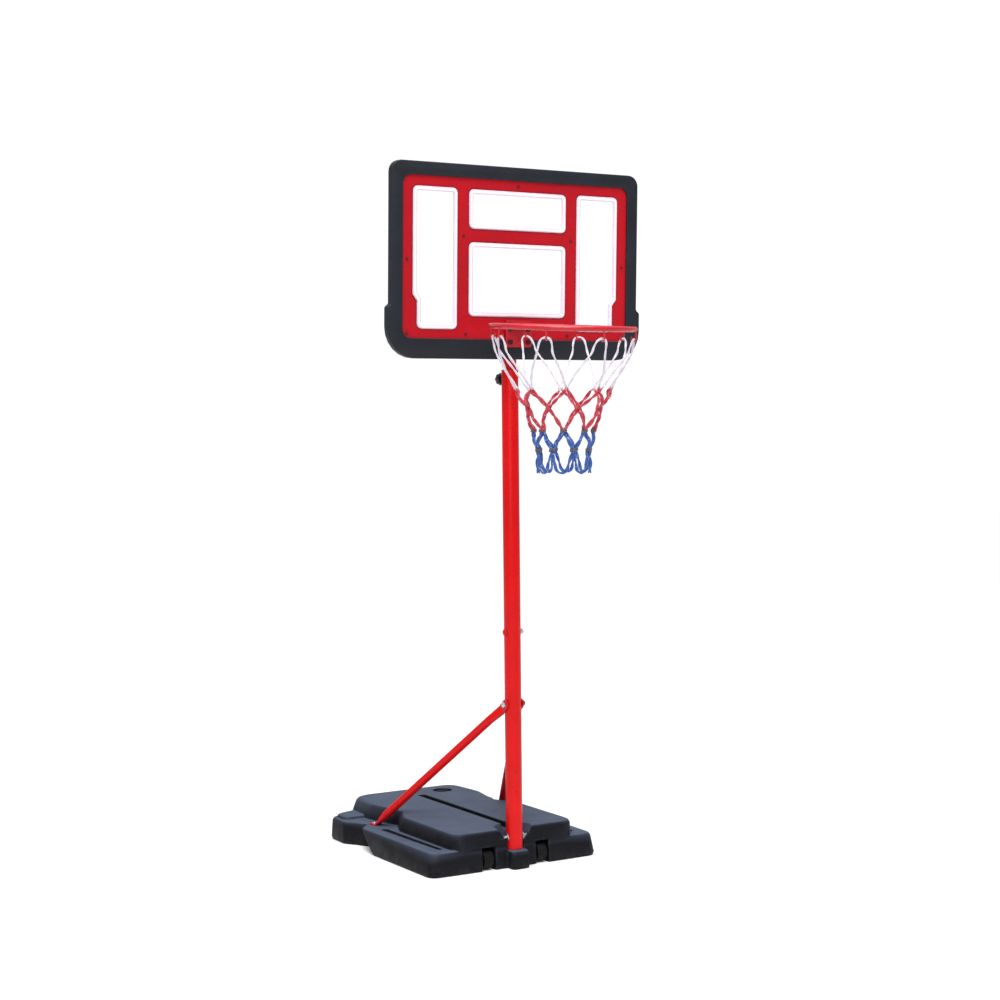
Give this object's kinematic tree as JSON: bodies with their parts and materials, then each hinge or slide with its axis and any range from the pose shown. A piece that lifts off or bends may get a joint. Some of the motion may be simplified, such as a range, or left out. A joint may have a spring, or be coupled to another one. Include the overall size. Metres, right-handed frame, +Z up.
{
  "type": "portable basketball hoop",
  "caption": "Portable junior basketball hoop: low tank base on wheels, braced round pole with a sliding mast, framed backboard with clear windows, ring and cord net.",
  "frame": {"origin": "on the floor, directly under the centreline of the pole", "axes": "+Z up along the pole; the backboard faces -Y with the ring in front of it, and the tank runs back towards +Y; +X is to the right of somebody looking along +Y at the front of the board, and X = 0 is the middle of the board and tank"},
  "size_m": [0.744, 1.034, 1.7796],
  "materials": {
    "tank_plastic": "blow-moulded polyethylene, dark blue-grey, fine leather-like grain",
    "black_plastic": "injection-moulded plastic, dark blue-black, satin with a fine spark texture",
    "wheel_plastic": "hard black plastic, dull, scuffed on the tread",
    "red_paint": "powder-coated steel tube and plate, bright red, semi-gloss with slight orange peel",
    "red_plastic": "printed red face of the backboard, semi-gloss",
    "white_plastic": "white window borders, semi-gloss",
    "clear_plastic": "clear polycarbonate sheet, polished",
    "zinc_steel": "bright zinc-plated steel fasteners and axle",
    "net_cord": "braided polyester cord, white above, red in the middle, blue below"
  },
  "bodies": {
    "base": {"base_tank": "tank_plastic", "wheel_axle": "zinc_steel", "lower_pole": "red_paint", "middle_pole": "red_paint", "foot_bolt": "zinc_steel", "foot_washer_left": "zinc_steel", "foot_washer_right": "zinc_steel", "joint_bolt": "red_paint", "joint_nut": "zinc_steel", "strut_left": "red_paint", "strut_right": "red_paint", "strut_bolt": "zinc_steel", "strut_nut": "black_plastic", "strut_foot_screw_left": "zinc_steel", "strut_foot_screw_right": "zinc_steel"},
    "head": {"board_frame": "black_plastic", "clear_sheet": "clear_plastic", "red_panel": "red_plastic", "window_trim_left": "white_plastic", "window_trim_right": "white_plastic", "window_trim_upper": "white_plastic", "window_trim_lower": "white_plastic", "panel_screw_1": "black_plastic", "panel_screw_2": "black_plastic", "panel_screw_3": "black_plastic", "panel_screw_4": "black_plastic", "panel_screw_5": "black_plastic", "panel_screw_6": "black_plastic", "panel_screw_7": "black_plastic", "panel_screw_8": "black_plastic", "panel_screw_9": "black_plastic", "rim_bolt_lower_left": "zinc_steel", "rim_nut_lower_left": "zinc_steel", "rim_bolt_upper_left": "zinc_steel", "rim_nut_upper_left": "zinc_steel", "rim_bolt_lower_right": "zinc_steel", "rim_nut_lower_right": "zinc_steel", "rim_bolt_upper_right": "zinc_steel", "rim_nut_upper_right": "zinc_steel", "mast": "red_paint", "rim": "red_paint", "net": "net_cord"},
    "knob": {"height_knob": "black_plastic"},
    "cap": {"filler_cap": "black_plastic"},
    "left_wheel": {"wheel_left": "wheel_plastic"},
    "right_wheel": {"wheel_right": "wheel_plastic"}
  },
  "joints": [
    {"name": "height_slide", "type": "slide", "parent": "base", "child": "head", "axis": [0, 0, 1], "range_m": [0, 0.45]},
    {"name": "knob_turn", "type": "hinge", "parent": "base", "child": "knob", "pos_m": [0, 0.04, 1.252], "axis": [0, 1, 0], "range_deg": [0, 720]},
    {"name": "cap_turn", "type": "hinge", "parent": "base", "child": "cap", "pos_m": [0.084, 0.528, 0.1], "axis": [0, 0, 1], "range_deg": [0, 540]},
    {"name": "left_wheel_spin", "type": "hinge", "parent": "base", "child": "left_wheel", "pos_m": [-0.08, 0.014, 0.027], "axis": [1, 0, 0], "continuous": true},
    {"name": "right_wheel_spin", "type": "hinge", "parent": "base", "child": "right_wheel", "pos_m": [0.08, 0.014, 0.027], "axis": [1, 0, 0], "continuous": true}
  ]
}
